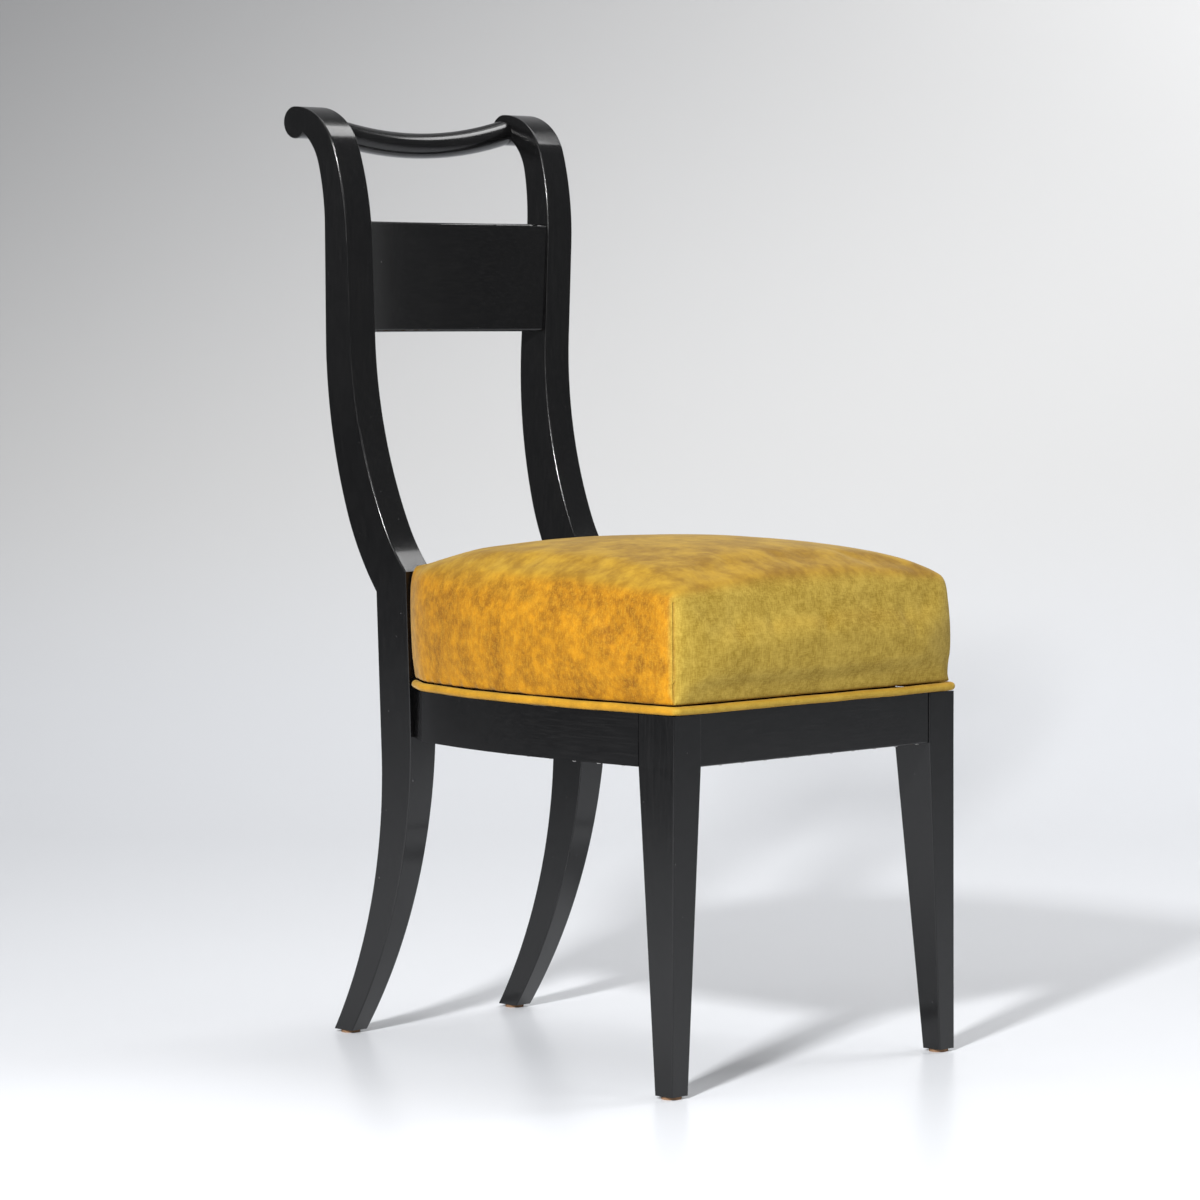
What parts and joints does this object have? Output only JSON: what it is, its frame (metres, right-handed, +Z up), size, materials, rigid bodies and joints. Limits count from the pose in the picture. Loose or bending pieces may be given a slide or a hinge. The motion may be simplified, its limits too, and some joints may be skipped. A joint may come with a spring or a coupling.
{
  "type": "dining chair",
  "caption": "Klismos dining chair: black lacquered sabre-leg frame with scrolled back posts, bowed back panel, sagging round top rail and a crowned velvet seat edged with piping.",
  "frame": {"origin": "middle of the bounding box on the floor", "axes": "+Z up, the front of the seat faces -Y, +X to the right of someone who looks at the front"},
  "size_m": [0.4196, 0.5741, 0.93],
  "materials": {
    "lacquered_frame": "black lacquer over fine grain, satin to gloss",
    "raw_wood": "bare sawn wood",
    "steel": "plain",
    "glide_felt": "tan brown felt",
    "webbing": "woven jute",
    "hessian": "coarse plain weave",
    "lining_cloth": "black cambric",
    "padding": "layered stuffing",
    "velvet": "mustard yellow crushed velvet",
    "velvet_piping": "mustard yellow velvet over cord"
  },
  "bodies": {
    "root": {"left_back_post": "lacquered_frame", "right_back_post": "lacquered_frame", "left_front_leg": "lacquered_frame", "right_front_leg": "lacquered_frame", "left_side_rail": "lacquered_frame", "right_side_rail": "lacquered_frame", "front_rail": "lacquered_frame", "rear_rail": "lacquered_frame", "back_panel": "lacquered_frame", "top_rail": "lacquered_frame", "front_left_corner_block": "raw_wood", "front_right_corner_block": "raw_wood", "rear_left_corner_block": "raw_wood", "rear_right_corner_block": "raw_wood", "corner_block_screws": "steel", "front_left_glide": "glide_felt", "front_right_glide": "glide_felt", "rear_left_glide": "glide_felt", "rear_right_glide": "glide_felt", "glide_nails": "steel", "left_strap_along": "webbing", "middle_strap_along": "webbing", "right_strap_along": "webbing", "front_strap_across": "webbing", "middle_strap_across": "webbing", "rear_strap_across": "webbing", "seat_hessian": "hessian", "dust_cover": "lining_cloth", "seat_pad": "padding", "seat_cover": "velvet", "seat_piping": "velvet_piping", "rear_piping": "velvet_piping"}
  },
  "joints": []
}
